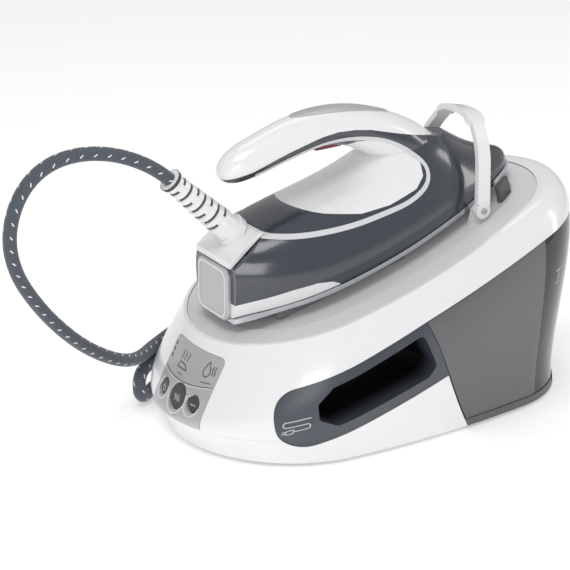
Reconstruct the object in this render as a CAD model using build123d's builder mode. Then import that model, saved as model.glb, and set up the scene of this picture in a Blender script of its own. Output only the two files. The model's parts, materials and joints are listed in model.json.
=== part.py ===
from build123d import *
import math
import os

os.makedirs("parts", exist_ok=True)

# A compact steam generator iron: a base with a boiler and a water tank, and an
# iron that rests on its sloping deck. Millimetres. +X points to the tank and
# the iron's nose, -Y to the side with the cord compartment, +Z up, and the
# origin is at the middle of the base, on the surface it stands on.

# ---- driving dimensions -------------------------------------------------
TILT = 16.5                 # slope of the deck and of the resting soleplate
DECK_Z = 134.0              # height of the rim plane at x = 0
SOLE_X, SOLE_Z = -139.0, 101.0   # the soleplate's heel edge at rest
FOOT_H = 3.0                # rubber feet
WALL = 3.0                  # moulded shell wall
GAP = 0.3                   # assembly gap between neighbouring mouldings
HOSE_D = 11.0               # outer diameter of the braided steam hose

SIN, COS = math.sin(math.radians(TILT)), math.cos(math.radians(TILT))
TAN = math.tan(math.radians(TILT))

# Outlines of the base, from the floor up: slope, height at x = 0, foremost
# and rearmost x, front, rear and side radii.
OUTLINES = [
    (0.0, FOOT_H, -170.0, 174.0, 101.0, 87.0, 800.0),
    (0.10, 40.0, -179.0, 176.0, 108.0, 88.0, 800.0),
    (0.35, 109.0, -174.0, 179.0, 112.0, 86.0, 600.0),
    (TAN, DECK_Z, -154.0, 156.0, 97.0, 70.0, 400.0),
]

# Side-view lines of the base: the tank's leaning front edge, the two edges of
# the dark side panels and the lower edge of the white band over the tank.
TANK_TOP = (-12.4, 106.9)
TANK_FOOT = (42.0, 0.0)
PANEL_C, PANEL_R = (-112.0, 44.5), 26.0
PANEL_TOP_A, PANEL_LOW_A = 19.3, 17.0
SEAM_Z = 24.0
BAND_MID, BAND_REAR = (90.0, 137.5), (200.0, 165.5)


def tilted(slope, height):
    """Plane through (0, 0, height) that climbs by `slope` towards +X."""
    a = math.atan(slope)
    return Plane(origin=(0, 0, height), x_dir=(math.cos(a), 0, math.sin(a)),
                 z_dir=(-math.sin(a), 0, math.cos(a)))


def egg_face(slope, front, rear, r_front, r_rear, r_side, grow=0.0):
    """Egg-shaped face of four tangent arcs, flat on the local XY plane."""
    c = math.cos(math.atan(slope))
    front, rear = front / c - grow, rear / c + grow
    r1, r2, rs = r_front + grow, r_rear + grow, r_side + grow
    x1, x2 = front + r1, rear - r2
    d, a, b = x2 - x1, rs - r1, rs - r2
    off = (a * a - b * b + d * d) / (2 * d)
    depth = math.sqrt(a * a - off * off)
    xs = x1 + off
    p1 = (x1 + r1 * (x1 - xs) / a, r1 * depth / a)
    p2 = (x2 + r2 * (x2 - xs) / b, r2 * depth / b)
    xm = (p1[0] + p2[0]) / 2
    pm = (xm, math.sqrt(rs * rs - (xm - xs) ** 2) - depth)
    flip = lambda p: (p[0], -p[1])
    with BuildSketch() as face:
        with BuildLine():
            ThreePointArc(flip(p1), (front, 0), p1)
            ThreePointArc(p1, pm, p2)
            ThreePointArc(p2, (rear, 0), flip(p2))
            ThreePointArc(flip(p2), flip(pm), flip(p1))
        make_face()
    return face.sketch


def base_form(grow=0.0):
    """The whole base as one closed solid, grown or shrunk sideways."""
    faces = [(tilted(slope, height), egg_face(slope, *dims, grow=grow))
             for slope, height, *dims in OUTLINES]
    with BuildPart() as form:
        for plane, face in faces:
            with BuildSketch(plane):
                add(face)
        loft()
    return form.part


def side_prism(points, y0=-150.0, y1=150.0):
    """Prism across the base with the given side-view (x, z) polygon."""
    with BuildPart() as prism:
        with BuildSketch(Plane.XZ.offset(-y1)):
            with BuildLine():
                Polyline(*points, close=True)
            make_face()
        extrude(amount=y1 - y0)
    return prism.part


def on_tank_line(z, shift=0.0):
    """Point of the tank's leaning front edge at height z, moved along x."""
    slope = (TANK_FOOT[0] - TANK_TOP[0]) / (TANK_TOP[1] - TANK_FOOT[1])
    return (TANK_FOOT[0] - slope * z + shift, z)


def panel_prism(grow=0.0, shift=0.0, y0=-150.0, y1=150.0):
    """Side panel in side view: round in front, cut by the tank's edge behind."""
    r = PANEL_R + grow
    up, low = math.radians(PANEL_TOP_A), math.radians(PANEL_LOW_A)
    top = (PANEL_C[0] - r * math.sin(up), PANEL_C[1] + r * math.cos(up))
    bot = (PANEL_C[0] + r * math.sin(low), PANEL_C[1] - r * math.cos(low))
    lean = (TANK_FOOT[0] - TANK_TOP[0]) / (TANK_TOP[1] - TANK_FOOT[1])
    ends = []
    for (px, pz), ang in ((top, up), (bot, low)):
        t = math.tan(ang)
        x = (TANK_FOOT[0] + shift - lean * (pz - t * px)) / (1 + lean * t)
        ends.append((x, pz + t * (x - px)))
    with BuildPart() as prism:
        with BuildSketch(Plane.XZ.offset(-y1)):
            with BuildLine():
                ThreePointArc(bot, (PANEL_C[0] - r, PANEL_C[1]), top)
                Line(top, ends[0])
                Line(ends[0], ends[1])
                Line(ends[1], bot)
            make_face()
        extrude(amount=y1 - y0)
    return prism.part


def tank_prism(shift=0.0, low=0.0, drop=0.0):
    """Side view of the water tank's bay: behind the leaning edge, below the band."""
    with BuildPart() as prism:
        with BuildSketch(Plane.XZ.offset(-150)):
            front_top = (TANK_TOP[0] + shift, TANK_TOP[1] - drop)
            mid = (BAND_MID[0], BAND_MID[1] - drop)
            rear = (BAND_REAR[0], BAND_REAR[1] - drop)
            with BuildLine():
                ThreePointArc(front_top, mid, rear)
                Line(rear, (rear[0], low))
                Line((rear[0], low), on_tank_line(low, shift))
                Line(on_tank_line(low, shift), front_top)
            make_face()
        extrude(amount=300)
    return prism.part


def save(piece, name):
    piece.label = name
    export_step(piece, f"parts/{name}.step")


DECK = tilted(TAN, DECK_Z)
outer = base_form()
inner = base_form(-WALL)
skin = base_form(-0.6)
under_skin = base_form(-WALL - GAP)

# ---- cord compartment opening in the near side panel ----------------------
POCKET_Y = -62.0            # y of the compartment's back wall
POCKET = [(-96.0, 69.5), (-16.5, 97.3), (-1.5, 68.0), (-8.0, 59.5), (-90.0, 36.0), (-107.0, 44.0), (-108.5, 57.0)]
POCKET_FILLET = 5.0


def pocket_prism(grow, y0, y1):
    with BuildPart() as prism:
        with BuildSketch(Plane.XZ.offset(-y1)) as face:
            with BuildLine():
                Polyline(*POCKET, close=True)
            make_face()
            fillet(face.vertices(), POCKET_FILLET)
            if grow:
                offset(amount=grow)
        extrude(amount=y1 - y0)
    return prism.part


# ---- side panels -----------------------------------------------------------
with BuildPart() as side_panel_near:
    add(panel_prism(-GAP, -GAP, -150, -40))
    add(skin, mode=Mode.INTERSECT)
    add(under_skin, mode=Mode.SUBTRACT)
    add(pocket_prism(2.0, -112, POCKET_Y) & skin)
    add(pocket_prism(0, -150, POCKET_Y - 2), mode=Mode.SUBTRACT)
save(side_panel_near.part, "side_panel_near")

with BuildPart() as side_panel_far:
    add(panel_prism(-GAP, -GAP, 40, 150))
    add(skin, mode=Mode.INTERSECT)
    add(under_skin, mode=Mode.SUBTRACT)
save(side_panel_far.part, "side_panel_far")

# ---- control panel and its buttons ------------------------------------------
FACE_Y, FACE_W = -7.0, 70.0       # middle and width of the control panel
FACE_LOW, FACE_HIGH = 25.0, 80.0
BUTTONS = {"power_button": (15.0, 6.7), "steam_button": (-8.0, 10.2), "descale_button": (-28.0, 6.9)}
BUTTON_Z = 42.0
BOILER_X = -78.0                   # middle of the boiler
FACE_LEAN = 17.4                   # how far the front leans back
FRONT_R = 106.0                    # plan radius of the front at the buttons


def front_prism(grow=0.0):
    """Rounded rectangle of the control panel, run through the front of the base."""
    with BuildPart() as prism:
        with BuildSketch(Plane(origin=(-250, FACE_Y, (FACE_LOW + FACE_HIGH) / 2),
                               x_dir=(0, 1, 0), z_dir=(1, 0, 0))):
            RectangleRounded(FACE_W + 2 * grow, FACE_HIGH - FACE_LOW + 2 * grow, 5)
        extrude(amount=150)
    return prism.part


def button_plane(y, lift=0.0):
    """Plane on the control panel at a button, its normal pointing outwards."""
    x = -175.2 + (BUTTON_Z - 42) * 0.31 + FRONT_R - math.sqrt(FRONT_R ** 2 - y * y)
    turn, lean = math.asin(y / FRONT_R), math.radians(FACE_LEAN)
    n = Vector(-math.cos(turn) * math.cos(lean), math.sin(turn) * math.cos(lean), math.sin(lean))
    side = Vector(math.sin(turn), math.cos(turn), 0)
    return Plane(origin=Vector(x, y, BUTTON_Z) + n * lift, x_dir=side, z_dir=n)


with BuildPart() as button_holes:
    for y, r in BUTTONS.values():
        with BuildSketch(button_plane(y, -12)):
            Circle(r + 0.5)
        extrude(amount=24)

face_outer = base_form(0.7)
face_inner = base_form(-1.2)
with BuildPart() as control_panel:
    add(front_prism(-GAP))
    add(face_outer, mode=Mode.INTERSECT)
    add(face_inner, mode=Mode.SUBTRACT)
    add(button_holes.part, mode=Mode.SUBTRACT)
save(control_panel.part, "control_panel")

for name, (y, r) in BUTTONS.items():
    with BuildPart() as button:
        with BuildSketch(button_plane(y, -7)):
            Circle(r)
        extrude(amount=9)
        fillet(button.edges().group_by(Axis.X)[0], 0.8)
    save(button.part, name)

# ---- upper and lower shells ----------------------------------------------------
UPPER_REGION = [(-230, SEAM_Z + 0.2), (-112, SEAM_Z + 0.2), (-112, 60), (TANK_TOP[0], TANK_TOP[1] - 4),
                (260, 160), (260, 260), (-230, 260)]
rim_face = egg_face(TAN, *OUTLINES[3][2:], grow=-WALL)
with BuildPart() as deck_opening:
    with BuildSketch(DECK.offset(-6)):
        add(rim_face)
    extrude(amount=20)

with BuildPart() as upper_shell:
    add(outer)
    add(inner, mode=Mode.SUBTRACT)
    add(deck_opening.part, mode=Mode.SUBTRACT)
    add(side_prism(UPPER_REGION), mode=Mode.INTERSECT)
    add(panel_prism(), mode=Mode.SUBTRACT)
    add(tank_prism(0, -5, 0), mode=Mode.SUBTRACT)
    add(front_prism() - face_inner, mode=Mode.SUBTRACT)
    add(button_holes.part, mode=Mode.SUBTRACT)
save(upper_shell.part, "upper_shell")

LOWER_REGION = [(-230, 0), (230, 0), (230, 80), (-60, 50), (-112, SEAM_Z), (-230, SEAM_Z)]
with BuildPart() as lower_shell:
    add(outer)
    add(inner, mode=Mode.SUBTRACT)
    add(side_prism(LOWER_REGION), mode=Mode.INTERSECT)
    add(panel_prism(), mode=Mode.SUBTRACT)
    add(tank_prism(-1.3, -5, 0), mode=Mode.SUBTRACT)
    add(front_prism() - face_inner, mode=Mode.SUBTRACT)
save(lower_shell.part, "lower_shell")

# ---- chassis: floor pan, feet, bulkhead, bay roof -----------------------------
floor_face = egg_face(0.0, *OUTLINES[0][2:], grow=-WALL - 1.2)
with BuildPart() as floor_pan:
    with BuildSketch(Plane.XY.offset(FOOT_H)):
        add(floor_face)
    extrude(amount=3)
    with BuildSketch(Plane.XY.offset(FOOT_H)):
        with Locations((BOILER_X, 0)):
            Circle(12)
    extrude(amount=3, mode=Mode.SUBTRACT)
    add(tank_prism(-1.2, -5, 0) & side_prism([(0, 0), (230, 0), (230, 30), (0, 30)]), mode=Mode.SUBTRACT)

TRAY_TOP = 9.0                     # top of the tray that the tank stands on
with BuildPart() as tank_tray:
    add(base_form())
    add(side_prism([on_tank_line(0, -1.2), (230, 0), (230, TRAY_TOP), on_tank_line(TRAY_TOP, -1.2)]),
        mode=Mode.INTERSECT)
    with BuildSketch(Plane.XY.offset(FOOT_H + 2)):
        with Locations((110, 0)):
            RectangleRounded(90, 120, 8)
    extrude(amount=10, mode=Mode.SUBTRACT)
save(floor_pan.part, "floor_pan")
save(tank_tray.part, "tank_tray")

FEET = [(-128, -52), (-128, 52), (112, -58), (112, 58), (-20, 0)]
with BuildPart() as feet:
    with BuildSketch(Plane.XY):
        with Locations(*FEET):
            Circle(9)
    extrude(amount=FOOT_H)
save(feet.part, "feet")

with BuildPart() as bulkhead:
    add(side_prism([on_tank_line(6.2, -4.6), on_tank_line(6.2, -1.6),
                    on_tank_line(119.6, -1.6), on_tank_line(118.6, -4.6)]))
    add(under_skin, mode=Mode.INTERSECT)
    with BuildSketch(Plane.YZ.offset(0)):
        with Locations((0, 24)):
            Circle(9.4)
    extrude(amount=60, mode=Mode.SUBTRACT)
save(bulkhead.part, "bulkhead")

ROOF_DROP = 8.0                    # depth of the bay roof under the rim plane
roof_face = egg_face(TAN, *OUTLINES[3][2:], grow=-WALL - 1.0)
with BuildPart() as bay_roof:
    with BuildSketch(DECK.offset(-ROOF_DROP)):
        add(roof_face)
    extrude(amount=2.5)
    add(side_prism([(-19, 0), (230, 0), (230, 260), (-19, 260)]), mode=Mode.INTERSECT)
save(bay_roof.part, "bay_roof")

# ---- rest deck ----------------------------------------------------------------
rest_face = egg_face(TAN, *OUTLINES[3][2:], grow=-WALL - 0.2)
well_face = egg_face(TAN, *OUTLINES[3][2:], grow=-24.0)
HOOP_X, HOOP_Z = 78.0, 166.0       # the lock hoop's hinge line
HOOP_Y = 51.0                      # middle of each of its hinge eyes
HOOP_LEAN = 10.6                   # its lean from the vertical when locked
PIN_R = 2.5

with BuildPart() as rest_plate:
    with BuildSketch(DECK.offset(-5.0)):
        add(rest_face)
    extrude(amount=4.4)
    with BuildSketch(DECK.offset(-2.4)):
        add(well_face)
    extrude(amount=8, mode=Mode.SUBTRACT)
    for side in (-1, 1):
        with BuildSketch(Plane.XZ.offset(-side * (HOOP_Y - 6.5))):
            with BuildLine():
                Polyline((HOOP_X - 8, HOOP_Z - 14.5), (HOOP_X + 8, HOOP_Z - 11), (HOOP_X + 5, HOOP_Z),
                         (HOOP_X, HOOP_Z + 5), (HOOP_X - 5, HOOP_Z), close=True)
            make_face()
        extrude(amount=2, both=True)
save(rest_plate.part, "rest_plate")

with BuildPart() as hoop_pins:
    for side in (-1, 1):
        with BuildSketch(Plane.XZ.offset(-side * HOOP_Y)):
            with Locations((HOOP_X, HOOP_Z)):
                Circle(PIN_R)
        extrude(amount=4.3, both=True)
save(hoop_pins.part, "hoop_pins")


def sole_face(grow=0.0, inset_heel=0.0):
    """Soleplate outline: a narrow heel, full sides and a pointed nose."""
    half = [(0.5 + inset_heel, 27.5), (30, 41.5), (62, 53.5), (100, 58), (150, 55.5), (190, 48),
            (225, 37.5), (252, 26), (275, 14)]
    half = [(u, v + grow) for u, v in half]
    nose = (289.5 + grow, 0)
    with BuildSketch() as face:
        with BuildLine():
            Spline(*half, nose, tangents=[(0.75, 0.65), (0.1, -1)], tangent_scalars=[1, 0.45])
            mirror(about=Plane.XZ)
            Line((half[0][0], half[0][1]), (half[0][0], -half[0][1]))
        make_face()
    return face.sketch


IRON = Plane(origin=(SOLE_X, 0, SOLE_Z), x_dir=(COS, 0, SIN), z_dir=(-SIN, 0, COS))
PAD_GAP = 0.3


def iron_xz(u, w):
    """Side-view point (x, z) of the iron's own (along, above) coordinates."""
    return (SOLE_X + u * COS - w * SIN, SOLE_Z + u * SIN + w * COS)


# strips of heat-proof silicone that carry the hot soleplate
PAD_DROP = 10.2
with BuildPart() as rest_pads:
    with BuildSketch(IRON.offset(-PAD_DROP)):
        for side in (-1, 1):
            with Locations(Location((95, side * 36, 0), side * 2)):
                SlotOverall(120, 9)
            with Locations(Location((222, side * 18, 0), -side * 24)):
                SlotOverall(46, 8)
        with Locations((22, 0)):
            SlotOverall(40, 9, rotation=90)
    extrude(amount=PAD_DROP - PAD_GAP)
save(rest_pads.part, "rest_pads")

with BuildPart() as nose_guides:
    with BuildSketch(IRON.offset(-PAD_DROP)):
        for side in (-1, 1):
            with Locations(Location((262, side * 30.5, 0), -side * 30)):
                RectangleRounded(20, 4.5, 2)
    extrude(amount=PAD_DROP + 4)
save(nose_guides.part, "nose_guides")

# ---- lock hoop ------------------------------------------------------------------
lean = math.radians(HOOP_LEAN)
HOOP = Plane(origin=(HOOP_X, 0, HOOP_Z), x_dir=(0, 1, 0),
             z_dir=(math.cos(lean), 0, -math.sin(lean)))
HOOP_ROUTE = [(HOOP_Y - 0.5, 4), (38, 47), (18, 71.5), (-18, 71.5), (-38, 47), (-HOOP_Y + 0.5, 4)]
HOOP_RADII = [60, 24, 24, 60]
HOOP_T, HOOP_W, HOOP_TOP_W = 4.6, 12.0, 17.0
with BuildPart() as lock_hoop:
    with BuildSketch(HOOP):
        with BuildLine():
            FilletPolyline(*HOOP_ROUTE, radius=HOOP_RADII)
        trace(line_width=HOOP_T)
    extrude(amount=HOOP_W / 2, both=True)
    with BuildSketch(HOOP):
        with BuildLine():
            FilletPolyline(*HOOP_ROUTE, radius=HOOP_RADII)
        trace(line_width=HOOP_T)
        with Locations((0, 72)):
            Rectangle(44, 24, mode=Mode.INTERSECT)
    extrude(amount=HOOP_TOP_W / 2, both=True)
    for side in (-1, 1):
        with BuildSketch(Plane.XZ.offset(-side * HOOP_Y)):
            with Locations((HOOP_X, HOOP_Z)):
                Circle(6.5)
        extrude(amount=2.5, both=True)
        with BuildSketch(Plane.XZ.offset(-side * HOOP_Y)):
            with Locations((HOOP_X, HOOP_Z)):
                Circle(PIN_R + 0.08)
        extrude(amount=9, both=True, mode=Mode.SUBTRACT)
save(lock_hoop.part, "lock_hoop")

# ---- water tank -------------------------------------------------------------------
TANK_WALL = 2.4
FLAP_Z0, FLAP_Z1, FLAP_HALF = 120.0, 146.0, 34.0
tank_out = base_form(-0.8) & tank_prism(0.8, TRAY_TOP + 0.3, 1.0)
tank_in = base_form(-0.8 - TANK_WALL) & tank_prism(0.8 + TANK_WALL, TRAY_TOP + 0.3 + TANK_WALL, 1.0 + TANK_WALL)
with BuildPart() as flap_cut:
    with BuildSketch(Plane.YZ.offset(150)):
        with Locations((0, (FLAP_Z0 + FLAP_Z1) / 2)):
            RectangleRounded(2 * FLAP_HALF, FLAP_Z1 - FLAP_Z0, 5)
    extrude(amount=60)
VALVE_Z, VALVE_X = 24.0, 33.0
HINGE_X, HINGE_Z = 181.2, 121.2    # the flap turns about this line
HINGE_R, HINGE_Y, HINGE_PIN = 1.5, 12.0, 0.8   # barrel radius, half length, pin radius


def flap_rod(radius, half):
    """Round rod along the flap's hinge line."""
    with BuildPart() as rod:
        with BuildSketch(Plane.XZ):
            with Locations((HINGE_X, HINGE_Z)):
                Circle(radius)
        extrude(amount=half, both=True)
    return rod.part


with BuildPart() as water_tank:
    add(tank_out)
    add(tank_in, mode=Mode.SUBTRACT)
    add(flap_cut.part, mode=Mode.SUBTRACT)
    with BuildSketch(Plane.YZ.offset(VALVE_X - 10)):
        with Locations((0, VALVE_Z)):
            Circle(6.2)
    extrude(amount=20, mode=Mode.SUBTRACT)
    add(flap_rod(HINGE_R + GAP, HINGE_Y + GAP), mode=Mode.SUBTRACT)
    add(flap_rod(HINGE_PIN, HINGE_Y + 3))
    for side in (-1, 1):
        with BuildSketch(Plane.XZ.offset(-side * (HINGE_Y + 1.7))):
            with Locations((HINGE_X, HINGE_Z)):
                Circle(HINGE_R)
            with Locations((HINGE_X, HINGE_Z - 1.4)):
                Rectangle(2 * HINGE_R, 2.8)
        extrude(amount=1.3, both=True)
save(water_tank.part, "water_tank")

with BuildPart() as flap_small:
    with BuildSketch(Plane.YZ.offset(150)):
        with Locations((0, (FLAP_Z0 + FLAP_Z1) / 2)):
            RectangleRounded(2 * FLAP_HALF - 1.2, FLAP_Z1 - FLAP_Z0 - 1.2, 4.4)
    extrude(amount=60)
with BuildPart() as filler_flap:
    add(base_form(-0.8))
    add(base_form(-0.8 - TANK_WALL), mode=Mode.SUBTRACT)
    add(flap_small.part, mode=Mode.INTERSECT)
    add(side_prism([(170, 110), (190, 110), (190, HINGE_Z), (170, HINGE_Z)]), mode=Mode.SUBTRACT)
    for side in (-1, 1):
        y_mid = side * (HINGE_Y + 1.6)
        add(side_prism([(170, 110), (190, 110), (190, 123.4), (170, 123.4)], y_mid - 1.9, y_mid + 1.9),
            mode=Mode.SUBTRACT)
    add(flap_rod(HINGE_R, HINGE_Y))
    add(flap_rod(HINGE_PIN + 0.05, HINGE_Y + 1), mode=Mode.SUBTRACT)
save(filler_flap.part, "filler_flap")

with BuildPart() as tank_valve:
    with BuildSketch(Plane.YZ.offset(VALVE_X - 9)):
        with Locations((0, VALVE_Z)):
            Circle(6.0)
    extrude(amount=21)
    with BuildSketch(Plane.YZ.offset(VALVE_X + 6)):
        with Locations((0, VALVE_Z)):
            Circle(9.0)
    extrude(amount=4)
save(tank_valve.part, "tank_valve")

with BuildPart() as valve_socket:
    with BuildSketch(Plane.YZ.offset(8)):
        with Locations((0, VALVE_Z)):
            Circle(9.2)
    extrude(amount=23)
    with BuildSketch(Plane.YZ.offset(VALVE_X - 10)):
        with Locations((0, VALVE_Z)):
            Circle(6.4)
    extrude(amount=20, mode=Mode.SUBTRACT)
    with BuildSketch(Plane.YZ.offset(0)):
        with Locations((0, VALVE_Z)):
            Circle(2.5)
    extrude(amount=40, mode=Mode.SUBTRACT)
    add(tank_prism(-0.5, -5, 0), mode=Mode.SUBTRACT)
save(valve_socket.part, "valve_socket")

# ---- boiler, pump, valve and electronics ---------------------------------------------
BOILER_R, BOILER_Z0, BOILER_Z1 = 41.0, 16.0, 66.0
with BuildPart() as boiler:
    with BuildSketch(Plane.XY.offset(BOILER_Z0)):
        with Locations((BOILER_X, 0)):
            Circle(BOILER_R)
    extrude(amount=BOILER_Z1 - BOILER_Z0)
    fillet(boiler.edges().group_by(Axis.Z)[0], 8)
    offset(amount=-2.5, openings=boiler.faces().sort_by(Axis.Z)[-1])
save(boiler.part, "boiler")

with BuildPart() as boiler_lid:
    with BuildSketch(Plane.XY.offset(BOILER_Z1)):
        with Locations((BOILER_X, 0)):
            Circle(BOILER_R + 5)
    extrude(amount=4)
    with BuildSketch(Plane.XY.offset(BOILER_Z1 + 4)):
        with Locations((BOILER_X, 0)):
            Circle(22)
    extrude(amount=7, taper=20)
save(boiler_lid.part, "boiler_lid")

with BuildPart() as boiler_bolts:
    with BuildSketch(Plane.XY.offset(BOILER_Z1 + 4)):
        with Locations((BOILER_X, 0)):
            with PolarLocations(BOILER_R - 2, 8, 22.5):
                RegularPolygon(3.6, 6)
    extrude(amount=3)
save(boiler_bolts.part, "boiler_bolts")

with BuildPart() as boiler_feet:
    with BuildSketch(Plane.XY.offset(FOOT_H + 3)):
        with Locations((BOILER_X, 0)):
            with PolarLocations(30, 3, 60):
                Circle(6)
    extrude(amount=BOILER_Z0 - FOOT_H - 3)
    add(boiler.part, mode=Mode.SUBTRACT)
save(boiler_feet.part, "boiler_feet")

with BuildPart() as drain_plug:
    with BuildSketch(Plane.XY.offset(FOOT_H + 0.4)):
        with Locations((BOILER_X, 0)):
            RegularPolygon(9.5, 6)
    extrude(amount=BOILER_Z0 - FOOT_H - 0.4)
save(drain_plug.part, "drain_plug")

PUMP_Y = 42.0
with BuildPart() as pump:
    with BuildSketch(Plane.YZ.offset(-34)):
        with Locations((PUMP_Y, 26)):
            RectangleRounded(34, 34, 5)
    extrude(amount=34)
    with BuildSketch(Plane.YZ.offset(0)):
        with Locations((PUMP_Y, 26)):
            Circle(7)
    extrude(amount=12)
save(pump.part, "pump")

with BuildPart() as pump_feet:
    with BuildSketch(Plane.XY.offset(FOOT_H + 3)):
        with Locations((-28, PUMP_Y - 11), (-28, PUMP_Y + 11), (-6, PUMP_Y - 11), (-6, PUMP_Y + 11)):
            Circle(4)
    extrude(amount=3)
save(pump_feet.part, "pump_feet")

VALVE_AT = (-78.0, 0.0, 77.0)
with BuildPart() as steam_valve:
    with BuildSketch(Plane.XY.offset(VALVE_AT[2])):
        with Locations((VALVE_AT[0], 0)):
            RectangleRounded(22, 22, 3)
    extrude(amount=12)
    with BuildSketch(Plane.XY.offset(VALVE_AT[2] + 12)):
        with Locations((VALVE_AT[0], 0)):
            Circle(8)
    extrude(amount=9)
save(steam_valve.part, "steam_valve")

with BuildPart() as circuit_board:
    with BuildSketch(Plane(origin=(-141, FACE_Y, 50), x_dir=(0, 1, 0), z_dir=(-1, 0, 0.31))):
        Rectangle(60, 44)
    extrude(amount=1.6)
    with BuildSketch(Plane(origin=(-141, FACE_Y, 50), x_dir=(0, 1, 0), z_dir=(-1, 0, 0.31)).offset(1.6)):
        with Locations((22, 9), (-1, 9), (-21, 9)):
            Rectangle(6, 6)
    extrude(amount=3.5)
save(circuit_board.part, "circuit_board")

PIPE_R = 3.0
feed_route = [(-20, PUMP_Y, 43), (-20, PUMP_Y, 56), (-24, 18, 56), (-30, 6, 56), (-37.5, 0, 56)]
with BuildPart() as feed_pipe:
    with BuildLine() as feed_line:
        FilletPolyline(*feed_route, radius=6)
    with BuildSketch(Plane(origin=feed_line.line @ 0, z_dir=feed_line.line % 0)):
        Circle(PIPE_R)
    sweep()
    add(boiler.part, mode=Mode.SUBTRACT)
save(feed_pipe.part, "feed_pipe")

# ---- the iron ---------------------------------------------------------------------
# Cross-sections of the iron's body, heel to nose: distance along the sole, half
# width at the sole, half width and height of the flank's middle, half width and
# height of the shoulder, and height of the crown.
BODY = [
    (1.5, 26.5, 29.0, 26.0, 22.0, 44.0, 46.5),
    (28.0, 40.0, 41.5, 32.0, 27.0, 55.0, 58.5),
    (60.0, 52.5, 51.0, 32.0, 28.0, 57.5, 61.0),
    (100.0, 57.5, 54.5, 31.0, 27.5, 58.0, 61.5),
    (150.0, 55.0, 51.0, 33.0, 26.5, 60.0, 64.0),
    (190.0, 47.5, 42.5, 36.0, 21.0, 67.0, 74.0),
    (225.0, 37.0, 32.0, 34.0, 14.0, 60.0, 67.0),
    (250.0, 26.5, 22.0, 26.0, 9.0, 38.0, 43.0),
    (275.0, 13.5, 11.0, 16.0, 5.0, 21.5, 24.5),
    (287.5, 3.4, 3.0, 9.0, 2.0, 12.0, 13.5),
]
HEEL_X = -137.4             # upright plane at the back of the heel
BODY_LOW = 4.3              # the body stands this far above the sole's face

# Handle sections from the free end to the nose arch: centre along and above the
# sole, direction of the handle there, half height and half width.
HANDLE = [
    (37.2, 105.5, 8.0, 2.5, 3.5),
    (41.0, 106.0, 8.0, 8.0, 9.5),
    (50.0, 107.2, 7.0, 12.2, 14.0),
    (75.0, 109.0, 3.0, 14.8, 16.5),
    (103.0, 109.6, 0.0, 15.6, 17.5),
    (130.0, 106.6, -14.0, 15.2, 18.5),
    (152.0, 98.5, -30.0, 16.0, 20.5),
    (173.0, 84.0, -40.0, 18.5, 23.5),
    (196.0, 62.0, -48.0, 21.0, 24.0),
    (212.0, 42.0, -55.0, 20.0, 20.0),
]


def iron_station(u, turn=0.0, w=0.0):
    """Plane across the iron at a distance u along the sole."""
    a = math.radians(TILT + turn)
    x, z = iron_xz(u, w)
    return Plane(origin=(x, 0, z), x_dir=(0, 1, 0), z_dir=(math.cos(a), 0, math.sin(a)))


def body_form(grow=0.0, first=0, last=len(BODY), low=BODY_LOW):
    faces = []
    for u, a, am, wm, t, wt, h in BODY[first:last]:
        a, am, t, wt, h = a + grow, am + grow, t + grow * 0.6, wt + grow, h + grow
        with BuildSketch() as face:
            with BuildLine():
                Line((-a, low), (a, low))
                ThreePointArc((a, low), (am, wm), (t, wt))
                ThreePointArc((t, wt), (0, h), (-t, wt))
                ThreePointArc((-t, wt), (-am, wm), (-a, low))
            make_face()
        faces.append((iron_station(u), face.sketch))
    with BuildPart() as form:
        for plane, face in faces:
            with BuildSketch(plane):
                add(face)
        loft()
    return form.part


def handle_form(grow=0.0):
    with BuildPart() as form:
        for u, w, turn, hh, hw in HANDLE:
            with BuildSketch(iron_station(u, turn, w)):
                Ellipse(hw + grow, hh + grow)
        loft()
    return form.part


def iron_prism(points, y0=-100.0, y1=100.0):
    """Prism across the iron with a side-view polygon in its own coordinates."""
    return side_prism([iron_xz(u, w) for u, w in points], y0, y1)


with BuildPart() as soleplate:
    with BuildSketch(IRON):
        add(sole_face(0.4))
    extrude(amount=3.8)
    with BuildSketch(IRON):
        for side in (-1, 1):
            for k in range(7):
                with Locations((70 + 24 * k, side * (44 - 0.9 * k - 0.75 * k * k))):
                    SlotOverall(7, 2.4, rotation=-side * 5 * k)
        with Locations((254, 0), (236, 9), (236, -9), (218, 0)):
            Circle(1.5)
    extrude(amount=2.4, mode=Mode.SUBTRACT)
    add(side_prism([(-190, 60), (HEEL_X, 60), (HEEL_X, 160), (-190, 160)]), mode=Mode.SUBTRACT)
save(soleplate.part, "soleplate")

body_solid = body_form()
handle_solid = handle_form()
iron_solid = body_solid + handle_solid
cavity = body_form(-2.6, 1, 6, 3.0)

COVER_EDGE = [(20, 104.5), (60, 103.2), (92, 105.2), (122, 105.6), (136, 104.0), (150, 100.0), (163, 94.5),
              (189, 79.5), (226, 58.5), (243, 57.0)]
COVER_REGION = [*COVER_EDGE, (260, 150), (20, 150)]
SADDLE_REGION = [(72, 75), (79, 63.5), (98, 54.5), (124, 45.0), (150, 41.0), (178, 41.0), (189, 46.0),
                 (193, 55.0), (189, 65.0), (180, 74.0), (169, 81.5), (158, 87.0), (150, 89.0), (143, 86.5),
                 (148, 80.0)]
SKIRT_REGION = [(-8, 4.0), (-8, 15.5), (48, 15.5), (68, 13.5), (80, 9.5), (87, 4.0)]
HANDLE_SPLIT = [(20, 88), (140, 88), (150, 120), (150, 150), (20, 150)]

cover_cut = iron_prism(COVER_REGION)
saddle_cut = iron_prism(SADDLE_REGION)
skirt_cut = iron_prism(SKIRT_REGION)
split_cut = iron_prism(HANDLE_SPLIT)
heel_cut = side_prism([(-190, 60), (HEEL_X, 60), (HEEL_X, 146.5), (-108.5, 171.0), (-108.5, 215), (-190, 215)])

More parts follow.
